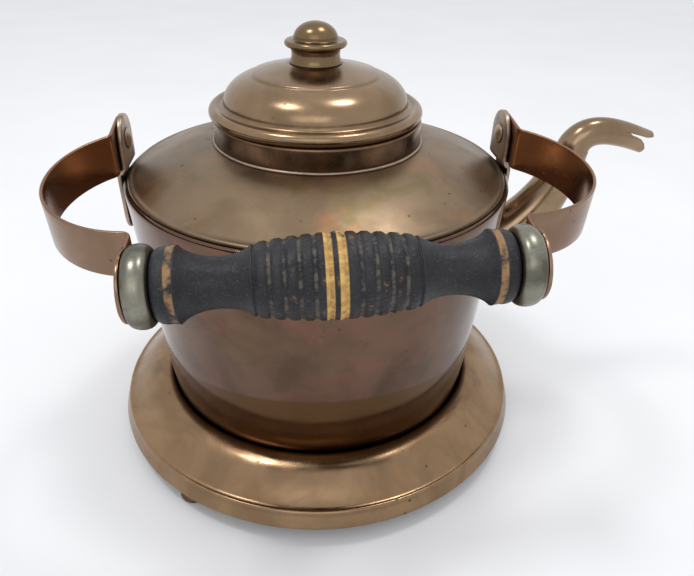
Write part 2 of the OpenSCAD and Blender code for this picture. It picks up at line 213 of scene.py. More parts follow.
def band(name, path, half_width, t, body, mat, place=None, twist=None):
    """A flat strip: path is [x, z] of its mid-plane, half_width(i) its half width in Y at point i."""
    n = len(path)
    verts, rings = [], []
    for i, p in enumerate(path):
        a, b = Vector(path[max(i - 1, 0)]), Vector(path[min(i + 1, n - 1)])
        d = (b - a).normalized()
        normal = Vector((-d.y, d.x))
        w = max(half_width(i), 0.01)
        e = min(EDGE_EASE * t, w * 0.5)
        section = []
        for side in (1, -1):
            corner_y = side * (w - e)
            for k in range(CORNER_STEPS + 1):
                turn = math.radians(90 * k / CORNER_STEPS)
                c, s = math.cos(turn), math.sin(turn)
                out, up = (c, s) if side > 0 else (s, c)
                section.append((corner_y + side * e * out, t / 2 - e + e * up))
        # round the section: outer face from +Y to -Y, then back along the inner face
        top = section
        low = [(y, -h) for y, h in reversed(section)]
        mid = [(w * f, t / 2) for f in (0.6, 0.2, -0.2, -0.6)]
        mid_low = [(w * f, -t / 2) for f in (-0.6, -0.2, 0.2, 0.6)]
        half = CORNER_STEPS + 1
        ring = top[:half] + mid + top[half:] + low[:half] + mid_low + low[half:]
        ids = []
        for y, h in ring:
            v = Vector((p[0] + normal.x * h, y, p[1] + normal.y * h))
            if twist:
                v = twist(i, v)
            ids.append(len(verts))
            verts.append(tuple(v))
        rings.append(ids)
    faces = []
    m = len(rings[0])
    for i in range(n - 1):
        for k in range(m):
            j = (k + 1) % m
            faces.append((rings[i][k], rings[i][j], rings[i + 1][j], rings[i + 1][k]))
    faces.append(tuple(reversed(rings[0])))
    faces.append(tuple(rings[-1]))
    return piece(name, verts, faces, body, mat, place)


# ---------- shaders ----------

class Shader:
    """A small builder for node materials, on object coordinates in metres."""

    def __init__(self, name):
        self.mat = bpy.data.materials.new(name)
        self.mat.use_nodes = True
        self.tree = self.mat.node_tree
        self.bsdf = self.tree.nodes["Principled BSDF"]
        self.where = self.tree.nodes.new("ShaderNodeTexCoord").outputs["Object"]

    def put(self, socket, value):
        if isinstance(value, bpy.types.NodeSocket):
            self.tree.links.new(value, socket)
        elif isinstance(value, (tuple, list)) and socket.type == "RGBA":
            socket.default_value = (*value, 1) if len(value) == 3 else value
        else:
            socket.default_value = value

    def node(self, kind, inputs=(), out=0, **props):
        n = self.tree.nodes.new("ShaderNode" + kind)
        for k, v in props.items():
            setattr(n, k, v)
        for key, value in dict(inputs).items():
            self.put(n.inputs[key], value)
        return n.outputs[out]

    def moved(self, shift=(0, 0, 0), stretch=(1, 1, 1)):
        return self.node("Mapping", {"Vector": self.where, "Location": shift, "Scale": stretch})

    def noise(self, scale, detail=3, rough=0.55, shift=(0, 0, 0), stretch=(1, 1, 1), warp=0.0):
        return self.node("TexNoise", {"Vector": self.moved(shift, stretch), "Scale": scale, "Detail": detail,
                                      "Roughness": rough, "Distortion": warp})

    def cells(self, scale, shift=(0, 0, 0), stretch=(1, 1, 1)):
        return self.node("TexVoronoi", {"Vector": self.moved(shift, stretch), "Scale": scale}, out="Distance")

    def step(self, value, lo, hi):
        """0 below lo, 1 above hi, smooth between."""
        flip = lo > hi
        return self.node("MapRange", {"Value": value, "From Min": min(lo, hi), "From Max": max(lo, hi),
                                      "To Min": 1.0 if flip else 0.0, "To Max": 0.0 if flip else 1.0},
                         interpolation_type="SMOOTHSTEP")

    def math(self, op, a, b=0.0):
        return self.node("Math", {0: a, 1: b}, operation=op)

    def mix(self, fac, a, b):
        n = self.tree.nodes.new("ShaderNodeMix")
        n.data_type = "RGBA"
        self.put(n.inputs[0], fac)
        self.put(n.inputs[6], a)
        self.put(n.inputs[7], b)
        return n.outputs[2]

    def axis(self, which):
        return self.node("SeparateXYZ", {"Vector": self.where}, out=which)

    def painted_corner_shade(self, reach=0.004):
        """Mask for painted shade: 1 in corners and creases, 0 in the open."""
        ao = self.node("AmbientOcclusion", {"Distance": reach}, out="AO", samples=6)
        return self.step(ao, 0.95, 0.45)

    def bump(self, height, strength, distance, below=None):
        inputs = {"Height": height, "Strength": strength, "Distance": distance}
        if below is not None:
            inputs["Normal"] = below
        return self.node("Bump", inputs)


ORANGE = (0.36, 0.175, 0.075)
OLIVE = (0.17, 0.135, 0.055)
GREY = (0.14, 0.115, 0.085)
PURPLE = (0.13, 0.08, 0.068)
ROSE = (0.215, 0.095, 0.072)
VERDIGRIS = (0.055, 0.085, 0.06)
SPOT = (0.035, 0.022, 0.016)
# near-black of the painted shade in corners and creases
PAINTED_SHADE_COLOUR = (0.03, 0.017, 0.012)


def patina(name, light, dark, tints=(), rough=(0.22, 0.42), spots=0.5, wave=0.10, grain=0.05, seed=0.0,
           painted_corner_shade=0.6, own_pattern=None):
    """Aged copper or brass: two blended tones, tarnish tints, dark spots, painted shade in the corners.

    Each tint is a colour, the scale of its patches, the noise levels where it starts and is whole,
    and its strength. The last argument adds a pattern that only this piece has; on the body that is a painted
    reflection, on the straps rust with painted shade.
    """
    s = Shader(name)
    at = (seed, seed * 1.7, seed * 0.6)
    big = s.noise(28, 4, 0.6, at, warp=0.6)
    colour = s.mix(s.step(big, 0.34, 0.66), dark, light)
    for i, (tint, scale, lo, hi, amount) in enumerate(tints):
        where = s.noise(scale, 4, 0.62, (at[0] + 1.3 * i + 0.7, at[1] - 0.9 * i, at[2] + 0.4 * i), warp=0.8)
        colour = s.mix(s.math("MULTIPLY", s.step(where, lo, hi), amount), colour, tint)
    fine = s.noise(900, 3, 0.6, at)
    colour = s.mix(s.math("MULTIPLY", s.step(fine, 0.42, 0.75), 0.22), colour, dark)
    fleck = s.step(s.cells(150, at), 0.16, 0.05)
    rare = s.step(s.noise(34, 2, 0.5, (at[1], at[0], at[2])), 0.5, 0.66)
    mark = s.math("MULTIPLY", fleck, s.math("MULTIPLY", rare, spots))
    colour = s.mix(mark, colour, SPOT)
    if own_pattern:
        colour = own_pattern(s, colour)
    # painted shade: near-black mixed into corners and creases, which are also made rougher
    painted_shade = s.math("MULTIPLY", s.painted_corner_shade(), painted_corner_shade)
    colour = s.mix(painted_shade, colour, PAINTED_SHADE_COLOUR)
    s.put(s.bsdf.inputs["Base Color"], colour)
    s.bsdf.inputs["Metallic"].default_value = 1.0
    cloud = s.noise(60, 5, 0.65, (at[2], at[0], at[1]))
    shine = s.node("MapRange", {"Value": cloud, "From Min": 0.3, "From Max": 0.7,
                                "To Min": rough[0], "To Max": rough[1]})
    shine = s.math("ADD", shine, s.math("MULTIPLY", mark, 0.2))
    s.put(s.bsdf.inputs["Roughness"], s.math("ADD", shine, s.math("MULTIPLY", painted_shade, 0.25)))
    soft = s.bump(s.noise(38, 2, 0.5, at), wave, 0.002)
    pits = s.bump(s.noise(1400, 3, 0.6, at), grain, 0.0002, soft)
    s.put(s.bsdf.inputs["Normal"], pits)
    return s.mat


def painted_reflection_band(s, colour):
    """Painted reflection of the stand: a darker golden-brown band low on the wall, higher towards the front.
    """
    slope, edge_lo, edge_hi = -0.19, 0.0512, 0.0532
    front = s.math("MULTIPLY", s.axis("Y"), slope)
    height = s.math("SUBTRACT", s.axis("Z"), front)
    wavy = s.math("MULTIPLY", s.noise(24, 2, 0.5, (0.3, 0.9, 0.2)), 0.003)
    below = s.step(s.math("ADD", height, wavy), edge_hi, edge_lo)
    return s.mix(s.math("MULTIPLY", below, 0.9), colour, (0.112, 0.057, 0.022))


def rust_and_painted_shade_inside(s, colour):
    """Rust and painted shade: warmer and darker on the faces that look in towards the kettle."""
    turn = s.node("NewGeometry", out="Normal")
    local = s.node("VectorTransform", {"Vector": turn}, convert_from="WORLD", convert_to="OBJECT",
                   vector_type="NORMAL")
    x = s.node("SeparateXYZ", {"Vector": local}, out="X")
    side = s.math("MULTIPLY", x, s.math("SIGN", s.axis("X")))
    up = s.node("SeparateXYZ", {"Vector": local}, out="Z")
    inward = s.math("ADD", side, s.math("MULTIPLY", up, s.step(s.axis("Z"), 0.05, 0.09)))
    return s.mix(s.math("MULTIPLY", s.step(inward, 0.15, -0.25), 0.85), colour, (0.29, 0.135, 0.068))


body_copper = patina("body_copper", (0.160, 0.096, 0.067), (0.105, 0.066, 0.045),
                     [(ROSE, 34, 0.5, 0.68, 0.5), (OLIVE, 22, 0.58, 0.75, 0.35), (GREY, 55, 0.58, 0.78, 0.4)],
                     rough=(0.07, 0.14), seed=2.0, wave=0.05, grain=0.03, own_pattern=painted_reflection_band)
shoulder_copper = patina("shoulder_copper", (0.25, 0.178, 0.113), (0.185, 0.13, 0.082),
                         [(ORANGE, 26, 0.54, 0.68, 0.5), (OLIVE, 40, 0.53, 0.68, 0.55),
                          (PURPLE, 60, 0.62, 0.78, 0.4)],
                         rough=(0.32, 0.44), seed=5.0, spots=0.8)
ring_copper = patina("stand_copper", (0.33, 0.215, 0.122), (0.235, 0.148, 0.084),
                     [(PURPLE, 30, 0.58, 0.74, 0.55), (OLIVE, 26, 0.6, 0.75, 0.35),
                      (ORANGE, 48, 0.56, 0.74, 0.35)],
                     rough=(0.16, 0.30), seed=9.0, spots=0.9)
lid_metal = patina("lid_copper", (0.32, 0.215, 0.13), (0.225, 0.15, 0.088),
                   [(OLIVE, 30, 0.52, 0.72, 0.4), (PURPLE, 44, 0.6, 0.76, 0.3)],
                   rough=(0.17, 0.29), seed=12.0, spots=0.4, painted_corner_shade=0.45)
spout_copper = patina("spout_copper", (0.34, 0.24, 0.15), (0.24, 0.165, 0.10),
                      [(OLIVE, 40, 0.52, 0.7, 0.5), (ROSE, 46, 0.6, 0.76, 0.3)],
                      rough=(0.14, 0.28), seed=36.0, spots=0.7)
# Painted reflection: a darker copy of copper for the neck collar and the lid skirt, where the mirror-like
# metal shows the shoulder.
dark_copper = patina("dark_copper", (0.25, 0.145, 0.08), (0.10, 0.062, 0.04), [(OLIVE, 30, 0.55, 0.75, 0.3)],
                     rough=(0.2, 0.36), seed=15.0)
cast_copper = patina("cast_copper", (0.20, 0.12, 0.075), (0.10, 0.06, 0.037),
                     [(VERDIGRIS, 60, 0.55, 0.7, 0.5)], rough=(0.35, 0.55), seed=18.0)
strap_copper = patina("strap_copper", (0.31, 0.205, 0.14), (0.215, 0.135, 0.09),
                      [((0.34, 0.175, 0.11), 40, 0.5, 0.7, 0.45), (PURPLE, 46, 0.6, 0.75, 0.4)],
                      rough=(0.18, 0.32), seed=21.0, own_pattern=rust_and_painted_shade_inside)
lug_metal = patina("lug_metal", (0.46, 0.34, 0.25), (0.27, 0.2, 0.155),
                   [(VERDIGRIS, 70, 0.55, 0.7, 0.6), ((0.36, 0.33, 0.29), 60, 0.56, 0.7, 0.6)],
                   rough=(0.25, 0.45), seed=24.0, painted_corner_shade=0.85)
knob_bronze = patina("knob_bronze", (0.30, 0.21, 0.12), (0.19, 0.125, 0.068), [(OLIVE, 60, 0.5, 0.7, 0.6)],
                     rough=(0.15, 0.3), seed=27.0, painted_corner_shade=0.9)
ferrule_metal = patina("ferrule_metal", (0.27, 0.262, 0.21), (0.11, 0.105, 0.08),
                       [((0.10, 0.085, 0.055), 60, 0.55, 0.68, 0.8), (VERDIGRIS, 80, 0.58, 0.72, 0.6),
                        ((0.20, 0.13, 0.07), 45, 0.56, 0.7, 0.5)],
                       rough=(0.24, 0.42), seed=30.0, spots=1.0, painted_corner_shade=0.9)
rod_steel = patina("rod_steel", (0.20, 0.19, 0.18), (0.08, 0.07, 0.06),
                   [((0.12, 0.06, 0.03), 90, 0.5, 0.7, 0.6)], rough=(0.35, 0.55), seed=33.0)


RING_PITCH = 5.37                       # of the rings turned on the grip


def painted_wood():
    """Satin black paint over pale turned wood: bare in two bands, worn on crests, dusty in grooves."""
    s = Shader("grip_wood")
    along = s.axis("Z")
    paint = s.mix(s.step(s.noise(70, 4, 0.6), 0.35, 0.7), (0.010, 0.010, 0.012), (0.021, 0.021, 0.025))
    speck = s.step(s.noise(1100, 3, 0.65, (0.2, 0.5, 0.1)), 0.56, 0.72)
    paint = s.mix(s.math("MULTIPLY", speck, 0.5), paint, (0.075, 0.08, 0.088))
    fibre = s.noise(45, 4, 0.6, stretch=(9, 9, 1))
    wood = s.mix(s.step(fibre, 0.35, 0.65), (0.46, 0.25, 0.065), (0.62, 0.40, 0.13))
    brown = s.mix(s.step(fibre, 0.35, 0.65), (0.085, 0.045, 0.024), (0.17, 0.095, 0.045))
    patch = s.noise(95, 5, 0.7, (0.3, 0.1, 0.8), warp=0.8)
    # two bare bands near the middle
    bare_a = s.math("MULTIPLY", s.step(along, -0.0049, -0.0044), s.step(along, -0.0015, -0.0021))
    bare_b = s.math("MULTIPLY", s.step(along, -0.0001, 0.0004), s.step(along, 0.0036, 0.0030))
    bare = s.math("MAXIMUM", bare_a, bare_b)
    bare = s.math("MULTIPLY", bare, s.step(s.noise(160, 4, 0.6), 0.3, 0.45))
    belly = s.math("MULTIPLY", s.step(along, -0.029, -0.026), s.step(along, 0.029, 0.026))
    wave = s.node("Math", {0: s.math("MULTIPLY", along, math.pi / (RING_PITCH * MM))}, operation="SINE")
    groove = s.math("ABSOLUTE", wave)       # 0 on a ring's crest, 1 in the groove beside it
    crest = s.step(groove, 0.7, 0.2)
    worn = s.math("MULTIPLY", s.math("MULTIPLY", s.step(patch, 0.54, 0.64), crest), belly)
    dust = s.math("MULTIPLY", s.math("MULTIPLY", s.step(groove, 0.87, 0.97), belly),
                  s.step(s.noise(260, 4, 0.7, stretch=(1, 1, 0.6)), 0.42, 0.62))
    colour = s.mix(worn, paint, brown)
    colour = s.mix(bare, colour, wood)
    colour = s.mix(s.math("MULTIPLY", dust, 0.6), colour, (0.135, 0.115, 0.085))
    tip = s.math("MULTIPLY", s.step(s.math("ABSOLUTE", along), 0.0570, 0.0575),
                 s.step(s.math("ABSOLUTE", along), 0.0603, 0.0598))
    tip = s.math("MULTIPLY", tip, s.step(s.noise(110, 4, 0.65, (0.9, 0.2, 0.1)), 0.40, 0.56))
    colour = s.mix(tip, colour, (0.27, 0.155, 0.07))
    s.put(s.bsdf.inputs["Base Color"], colour)
    gone = s.math("MAXIMUM", s.math("MAXIMUM", bare, worn), tip)
    rough = s.node("MapRange", {"Value": s.noise(80, 4, 0.6, (0.5, 0.5, 0)), "From Min": 0.3, "From Max": 0.7,
                                "To Min": 0.38, "To Max": 0.54})
    s.put(s.bsdf.inputs["Roughness"], s.math("ADD", rough, s.math("MULTIPLY", gone, 0.18)))
    s.bsdf.inputs["Specular IOR Level"].default_value = 0.3
    pebbles = s.bump(s.cells(620, (0.4, 0.2, 0.6)), 0.30, 0.0004)
    pores = s.bump(s.noise(700, 4, 0.65), 0.5, 0.0003, pebbles)
    s.put(s.bsdf.inputs["Normal"], pores)
    return s.mat


grip_wood = painted_wood()


# ---------- stand ----------

def make_stand():
    well_r = BAND_R - 29.4
    crease = (BAND_R - 2.8, BAND_Z + 9.5)
    ledge = BASE_Z - CLEAR
    opening_r = 66.5
    dent = dents(0.35, 70, 3)
    path = (
        arc(BAND_R - 1.1, BAND_Z + 1.1, 1.1, -80, 10, 6)
        + line((BAND_R - 0.1, BAND_Z + 1.6), (crease[0] + 0.55, crease[1] - 1.7), 6)
        + arc(crease[0] - 0.75, crease[1] - 0.9, 1.35, 8, 108, 9)
        + bezier([(crease[0] - 2.0, crease[1] + 0.62), (crease[0] - 9, crease[1] + 5.6),
                  (well_r + 9, CREST_Z + 2.4), (well_r + 0.9, CREST_Z - 0.5)], 34, 1)
        + bezier([(well_r + 0.9, CREST_Z - 0.5), (well_r + 0.35, CREST_Z - 0.85), (well_r, CREST_Z - 1.8),
                  (well_r, CREST_Z - 3.5)], 8, 1)
        + line((well_r, CREST_Z - 3.5), (well_r, ledge + 3), 6, 1)
        + arc(well_r - 3, ledge + 3, 3, -10, -90, 6)
        + line((well_r - 4, ledge), (opening_r, ledge), 6)
    )
    ring = lathe("stand_sheet", sheet(path, 1.2), "stand", ring_copper, 256, dent)
    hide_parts("stand_ring")

    foot_at, turn = 106.6, 229
    outline = (
        [(0, 0), (3.5, 0), (4.9, 0.02)] + arc(4.9, 2.4, 2.4, -80, 60, 12)
        + bezier([(6.2, 4.4), (5.3, 5.0), (5.1, 6.4), (5.1, 7.4)], 6, 1)
        + bezier([(5.1, 7.4), (5.2, 9.0), (5.6, 9.8), (6, 11.5)], 6, 1)
        + [(6, 13.5), (5.9, 16.4), (0, 16.4)]
    )
    feet = []
    for i in range(3):
        a = math.radians(turn + 120 * i)
        place = Matrix.Translation(Vector((foot_at * math.cos(a), foot_at * math.sin(a), 0)) * MM)
        feet.append(lathe(f"foot_{i + 1}", outline, "stand", cast_copper, 64, place=place))
    for f in feet:
        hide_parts("stand_feet")


# ---------- kettle body ----------

kettle_dent = dents(0.3, 55, 11)


def make_body():
    seam_r, top = SHOULDER_R, WALL_TOP
    wall = (
        line((wall_r(BASE_Z + 1.6), BASE_Z + 1.6), (wall_r(top - 3.0), top - 3.0), 60)
        + arc(WALL_R - 1.4, top - 1.4, 1.4, 6, 110, 10)
    )
    w = lathe("wall_sheet", sheet(wall, 1.2, 0.3), "kettle", body_copper, 256, kettle_dent)
    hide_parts("body_wall")

    bottom = (
        [(0, BASE_Z)] + line((20, BASE_Z), (wall_r(BASE_Z) - 5, BASE_Z), 5)
        + arc(wall_r(BASE_Z) - 3.8, BASE_Z + 2.4, 2.4, -84, -6, 8)
        + [(wall_r(BASE_Z + 6) - 1.26, BASE_Z + 6), (wall_r(BASE_Z + 9) - 1.23, BASE_Z + 9)]
    )
    t = 1.2
    inner = [(wall_r(BASE_Z + 9) - 1.23 - t, BASE_Z + 9), (wall_r(BASE_Z + 6) - 1.3 - t, BASE_Z + 6)] \
        + arc(wall_r(BASE_Z) - 3.8, BASE_Z + 2.4, 1.2, -6, -84, 8) + [(20, BASE_Z + t), (0, BASE_Z + t)]
    b = lathe("bottom_disc", bottom + inner, "kettle", body_copper, 192, kettle_dent)
    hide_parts("body_bottom")

    dome = [(seam_r - 3, BEAD_Z + 0.08), (seam_r - 17, BEAD_Z + 6.0), (NECK_R + 17, BEAD_Z + 11.5),
            (NECK_R - 1.2, NECK_LO)]
    shoulder = (
        [(seam_r - 0.05, BEAD_Z - 3.3)] + arc(seam_r - 1.4, BEAD_Z - 1.4, 1.4, 0, 96, 10)
        + bezier([(seam_r - 1.55, BEAD_Z - 0.01), (seam_r - 2.0, BEAD_Z - 0.03),
                  (seam_r - 2.5, BEAD_Z - 0.04), (seam_r - 3, BEAD_Z + 0.08)], 5, 1)
        + bezier(dome, 40, 1)
    )
    sh = lathe("shoulder_sheet", sheet(shoulder, 1.2, 0.2), "kettle", shoulder_copper, 256,
               kettle_dent)
    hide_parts("shoulder")

    bead = 1.4
    collar = line((NECK_R, NECK_LO), (NECK_R, NECK_HI - bead), 8) \
        + arc(NECK_R - bead, NECK_HI - bead, bead, 8, 90, 6)
    # the collar's dark copper is a painted reflection
    c = lathe("neck_sheet", sheet(collar, 1.0, 0.1), "kettle", dark_copper, 192)
    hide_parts("neck_collar")
    solder = [(NECK_R - 0.4, NECK_LO - 0.9)] + arc(NECK_R + 0.3, NECK_LO + 0.1, 0.85, -50, 80, 6) \
        + [(NECK_R - 0.4, NECK_LO + 1.2)]
    lathe("neck_solder", solder, "kettle", lug_metal, 192, kettle_dent)


# ---------- spout ----------

LOWER = [(94, 100.9), (117.1, 111.2), (130.5, 134.6), (135.4, 157.9)]
UPPER = [(135.4, 157.9), (140.6, 170.9), (158.5, 165.8), (175, 159.9)]
NOTCH = [(158.6, 167.8), (165, 166.4), (172.5, 164), (182, 163.9), (182, 150), (171.2, 150), (171.9, 155),
         (172.2, 158), (171, 161), (168.6, 163.5), (165.3, 165.1), (161.3, 166.4)]
RADII = [(-1, 15.9), (0, 15.9), (0.33, 13.5), (0.67, 11), (1, 8.2), (1.4, 7.2), (2, 6.2)]


def cubic(p, u):
    k = ((1 - u) ** 3, 3 * u * (1 - u) ** 2, 3 * u * u * (1 - u), u ** 3)
    return Vector([sum(k[j] * p[j][c] for j in range(4)) for c in range(2)])


def cubic_slope(p, u):
    k = (3 * (1 - u) ** 2, 6 * u * (1 - u), 3 * u * u)
    return Vector([sum(k[j] * (p[j + 1][c] - p[j][c]) for j in range(3)) for c in range(2)]).normalized()


def spout_at(u):
    if u < 0:
        return Vector(LOWER[0]) + u * 8 * cubic_slope(LOWER, 0), cubic_slope(LOWER, 0)
    if u < 1:
        return cubic(LOWER, u), cubic_slope(LOWER, u)
    return cubic(UPPER, u - 1), cubic_slope(UPPER, u - 1)


def spout_r(u):
    for (a, ra), (b, rb) in zip(RADII, RADII[1:]):
        if u <= b:
            f = (u - a) / (b - a)
            return ra + (rb - ra) * f
    return RADII[-1][1]


def smooth_r(u):
    """The spout's radius, with its corners eased."""
    steps = [-0.12, -0.06, 0, 0.06, 0.12]
    return sum(spout_r(min(max(u + d, -1), 2)) for d in steps) / len(steps)


def inside(poly, p):
    hit = False
    for (x0, y0), (x1, y1) in zip(poly, poly[1:] + poly[:1]):
        if (y0 > p[1]) != (y1 > p[1]) and p[0] < (x1 - x0) * (p[1] - y0) / (y1 - y0) + x0:
            hit = not hit
    return hit


def spout_point(u, a, grow=0.0):
    c, d = spout_at(u)
    r = smooth_r(u) + grow
    return Vector((c.x - d.y * r * math.cos(a), r * math.sin(a), c.y + d.x * r * math.cos(a)))


def spout_end(a):
    """How far along the tube wall runs at angle a, before it meets the notch between the lips."""
    u = 1.4
    while u < 2:
        p = spout_point(u, a)
        if inside(NOTCH, (p.x, p.z)):
            return u
        u += 0.002
    return 2.0


def make_spout():
    sides, steps = 96, 110
    start, flat = -0.95, 1.4
    ends = [spout_end(2 * math.pi * k / sides) for k in range(sides)]
    verts, rings = [], []

    def ring(f, grow):
        ids = []
        for k in range(sides):
            a = 2 * math.pi * k / sides
            u = start + (flat - start) * f / 0.78 if f < 0.78 else flat + (ends[k] - flat) * (f - 0.78) / 0.22
            ids.append(len(verts))
            verts.append(spout_point(u, a, grow))
        rings.append(ids)

    for i in range(steps + 1):
        ring(i / steps, 0.0)
    ring(1.0, -0.35)
    for i in range(steps + 1):
        ring(1 - i / steps, -1.0)
    faces = []
    n = len(rings)
    for i in range(n):
        a, b = rings[i], rings[(i + 1) % n]
        for k in range(sides):
            j = (k + 1) % sides
            faces.append((a[k], a[j], b[j], b[k]))
    tube = piece("spout_tube", verts, faces, "kettle", spout_copper)
    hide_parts("spout")


# ---------- lugs and rivets ----------

def fillet(points, radii, n=8):
    """The polyline with each inner corner rounded to the given radius."""
    out = [tuple(points[0])]
    for i in range(1, len(points) - 1):
        p, a, b = Vector(points[i]), Vector(points[i - 1]), Vector(points[i + 1])
        u, v = (a - p).normalized(), (b - p).normalized()
        half = math.acos(max(-1, min(1, u.dot(v)))) / 2
        cut = min(radii[i - 1] / math.tan(half), 0.49 * (a - p).length, 0.49 * (b - p).length)
        q0, q1 = p + u * cut, p + v * cut
        for k in range(n + 1):
            t = k / n
            out.append(tuple((1 - t) ** 2 * q0 + 2 * t * (1 - t) * p + t * t * q1))
    out.append(tuple(points[-1]))
    return out


def resample(path, pitch):
    """Points at an even pitch along a polyline, with the ends kept."""
    total = [0.0]
    for a, b in zip(path, path[1:]):
        total.append(total[-1] + (Vector(b) - Vector(a)).length)
    n = max(2, round(total[-1] / pitch))
    out, i = [], 0
    for k in range(n + 1):
        s = total[-1] * k / n
        while i < len(path) - 2 and total[i + 1] < s:
            i += 1
        f = (s - total[i]) / max(total[i + 1] - total[i], 1e-9)
        out.append(tuple(Vector(path[i]).lerp(Vector(path[i + 1]), min(f, 1))))
    return out, total[-1]


def end_spaced(path, r_start, r_end):
    """The path with extra points near its ends, so that round ends come out round."""
    fine, length = resample(path, 0.05)
    n = len(fine) - 1
    stations = []
    for k in range(13):
        stations.append(r_start * (1 - math.cos(math.pi / 2 * k / 12)))
    s = r_start
    while s < length - r_end - 1.2:
        s += 1.2
        stations.append(s)
    for k in range(13):
        stations.append(length - r_end * (1 - math.sin(math.pi / 2 * k / 12)))
    stations = sorted(set(round(min(max(v, 0), length), 4) for v in stations))
    pts = [fine[min(n, round(v / length * n))] for v in stations]
    return pts, stations, length


def strip(name, path, r_start, r_end, width, t, body, mat, place=None, twist=None):
    """A bent strip of sheet, with round ends."""
    pts, stations, length = end_spaced(path, r_start, r_end)

    def half(i):
        s = stations[i]
        w = width(s, length)
        if s < r_start:
            w = min(w, math.sqrt(max(r_start ** 2 - (r_start - s) ** 2, 0)))
        if length - s < r_end:
            w = min(w, math.sqrt(max(r_end ** 2 - (r_end - (length - s)) ** 2, 0)))
        return w
    return band(name, pts, half, t, body, mat, place, twist=twist)


def dome_outline(r, h, foot=0.3):
    return [(0, -foot), (r * 0.97, -foot), (r, 0)] + [
        (r * math.cos(math.radians(a)), h * math.sin(math.radians(a))) for a in range(8, 88, 8)] + [(0, h)]


def level_at(s, x, z):
    """Placement at x on side s and height z, +Z pointing level out of the kettle."""
    turn = Vector((s, 0, 0)).to_track_quat("Z", "Y").to_matrix().to_4x4()
    return Matrix.Translation(Vector((s * x, 0, z)) * MM) @ turn


def leg_x(z):
    """Inner face of a lug's upright leg at height z."""
    return 96.8 + 0.3 * (z - 118.5) / 29.5


def make_lugs():
    joggle = 152.4
    for s, name in ((-1, "left"), (1, "right")):
        mid, foot = LUG_T / 2, LUG_FEET[s]
        path = fillet([
            (LUG_X + mid, LUG_TOP), (LUG_X + mid, joggle + 0.6),
            (wall_r(149.6) + 0.2 + mid, 149.8), (leg_x(foot) + mid, foot)
        ], [2.2, 2.2])
        path = [(p[0], p[1]) for p in path]

        def width(d, length):
            f = min(max((d - 24.5) / 6, 0), 1)
            f = f * f * (3 - 2 * f)
            return LUG_W + (9.5 - LUG_W) * f
        plate = strip(f"lug_plate_{name}", [(s * x, z) for x, z in path], LUG_W, 9.5, width, LUG_T,
                      "kettle", lug_metal)
        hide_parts(f"lug_{name}")
        for k, z in enumerate((143, 132)):
            shank = leg_x(z) + LUG_T - wall_r(z) + 0.8
            outline = [(0, -shank), (1.95, -shank), (1.95, -0.05), (3.9, -0.05), (4, 0.1)] \
                + dome_outline(4.0, 1.8)[3:]
            head = lathe(f"lug_rivet_{name}_{k + 1}", outline, "kettle", lug_metal, 40,
                         place=level_at(s, leg_x(z) + LUG_T + 0.12, z))
            inwards = level_at(s, wall_r(z) - 1.65, z) @ Matrix.Rotation(math.pi, 4, "X")
            tail = lathe(f"lug_rivet_tail_{name}_{k + 1}", dome_outline(3.6, 1.4, 0.6), "kettle",
                         lug_metal, 40, place=inwards)
            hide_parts("lug_rivets")
            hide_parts("lug_rivets")
        outer = LUG_X + LUG_T + STRAP_T + 0.2
        pin = dome_outline(5.6, 2.5, 0.05)[3:]
        outline = [(0, -1.9)] + [(5.0 * math.sin(math.radians(a)), -1.9 * math.cos(math.radians(a)))
                                 for a in range(10, 90, 10)] + [(5.0, 0), (3, 0), (3, outer - LUG_X)] \
            + [(5.55, outer - LUG_X)] + [(r, outer - LUG_X + z) for r, z in pin]
        pivot = lathe(f"pivot_pin_{name}", outline, "kettle", lug_metal, 48,
                      place=level_at(s, LUG_X, HINGE.z))
        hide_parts(f"pivot_{name}")


# ---------- bail ----------

def strap_frame(s):
    """Local frame of one strap: X along the hinge, Z from the hinge to that end of the grip."""
    to_grip = FERRULES[s] - HINGE
    z = Vector((0, to_grip.y, to_grip.z)).normalized()
    y = z.cross(X_AXIS)
    m = Matrix((X_AXIS, y, z)).transposed().to_4x4()
    return Matrix.Translation(HINGE * MM) @ m


def grip_frame(s=1):
    """Local frame on the grip: Z along its axis, towards the right for s = 1."""
    z = GRIP_AXIS * s
    x = (GRIP_AT - HINGE).normalized()
    y = z.cross(x).normalized()
    x = y.cross(z)
    return Matrix.Translation(GRIP_AT * MM) @ Matrix((x, y, z)).transposed().to_4x4()


